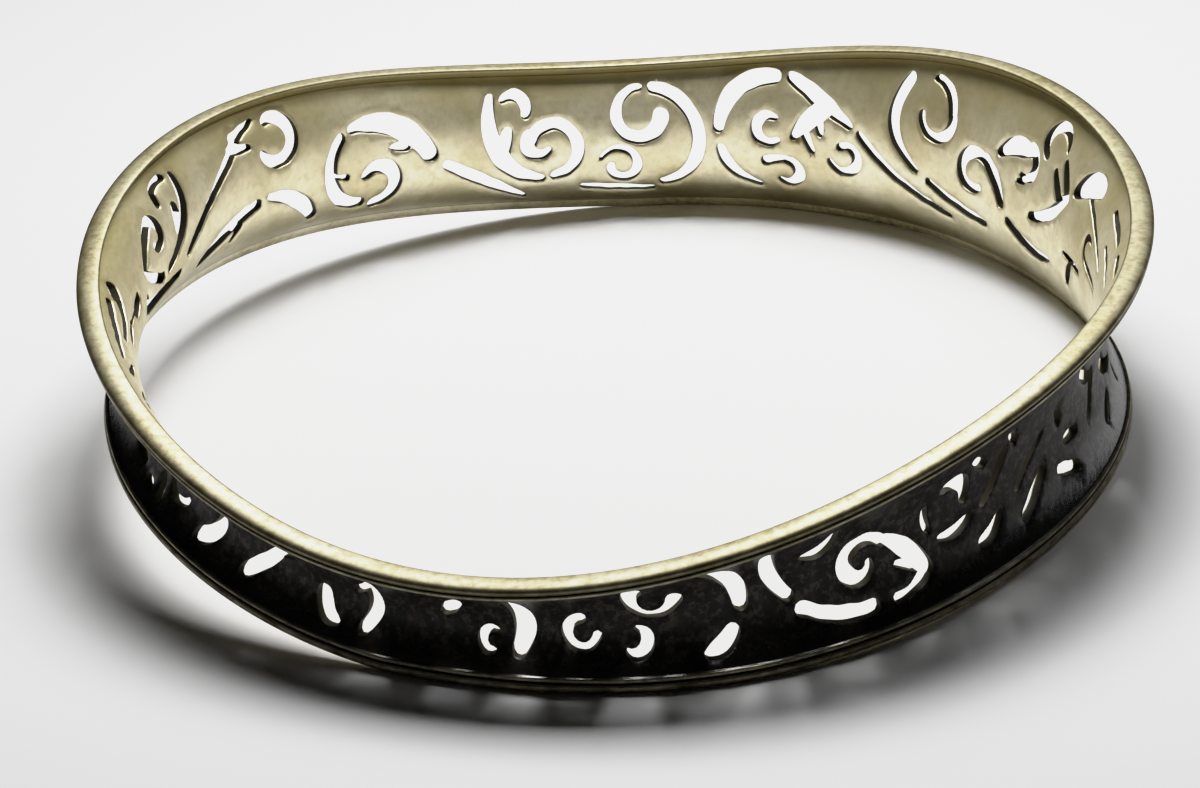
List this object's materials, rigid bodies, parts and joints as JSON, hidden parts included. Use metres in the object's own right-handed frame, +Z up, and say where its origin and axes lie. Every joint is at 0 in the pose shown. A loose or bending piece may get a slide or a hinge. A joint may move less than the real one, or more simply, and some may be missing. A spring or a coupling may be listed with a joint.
{
  "type": "filigree bangle",
  "caption": "Wavy one-piece bangle with a pinched waist, two rolled rims and scrollwork pierced through its wall.",
  "frame": {"origin": "on the floor under the middle of the whole part", "axes": "+Z up through the wrist opening, +X away from the side whose lower rim lifts off the floor, +Y towards the higher of the two ends between"},
  "size_m": [0.0712, 0.0716, 0.0162],
  "materials": {
    "silver": "cast silver, satin inside, blackened in the waist outside, worn bright on the rims"
  },
  "bodies": {
    "root": {"bangle": "silver"}
  },
  "joints": []
}
